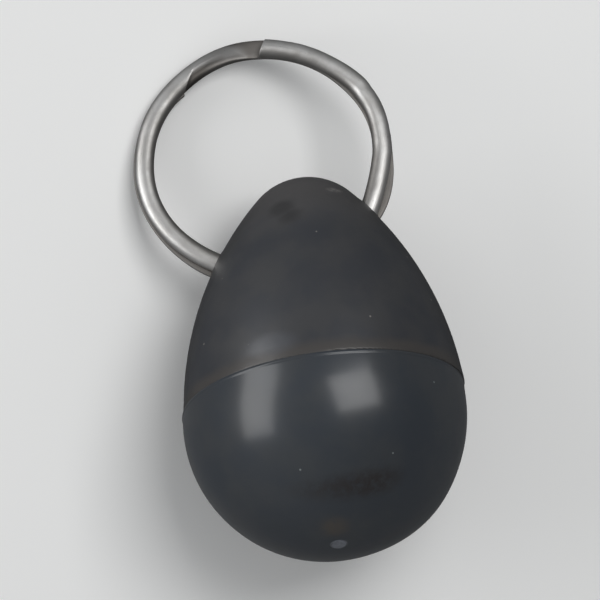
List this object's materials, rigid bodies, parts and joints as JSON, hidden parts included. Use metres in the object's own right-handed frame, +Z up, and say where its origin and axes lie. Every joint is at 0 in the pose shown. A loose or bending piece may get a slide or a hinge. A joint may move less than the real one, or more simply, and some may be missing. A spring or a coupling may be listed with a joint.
{
  "type": "case opening friction ball",
  "caption": "Hand tool for opening screwed watch case backs: an egg of soft tacky rubber with a steel split ring through its narrow end.",
  "frame": {"origin": "on the bench that the tool lies on, under the middle of its bounding box", "axes": "+Z up from the bench; +Y along the tool from the ball towards the ring, which is the longest extent; +X to the right when the tool is seen from above with its ring at the far end. The tool's own axis dips 15.2 degrees below +Y, and the tool has rolled 20.2 degrees about that axis, which is how it balances on its neck's flank and its ring's rim"},
  "size_m": [0.058, 0.1036, 0.0559],
  "materials": {
    "ball_rubber": "glossy tacky rubber, bluish charcoal",
    "neck_rubber": "satin moulded rubber, neutral charcoal",
    "ring_steel": "nickel-plated spring steel with fine handling scratches"
  },
  "bodies": {
    "rubber_egg": {"friction_ball": "ball_rubber", "grip_neck": "neck_rubber"},
    "ring": {"split_ring": "ring_steel"}
  },
  "joints": [
    {"name": "ring_turn", "type": "hinge", "parent": "rubber_egg", "child": "ring", "pos_m": [-0.00482, 0.0269, 0.01213], "axis": [-0.3446, 0.2461, 0.9059], "continuous": true}
  ]
}
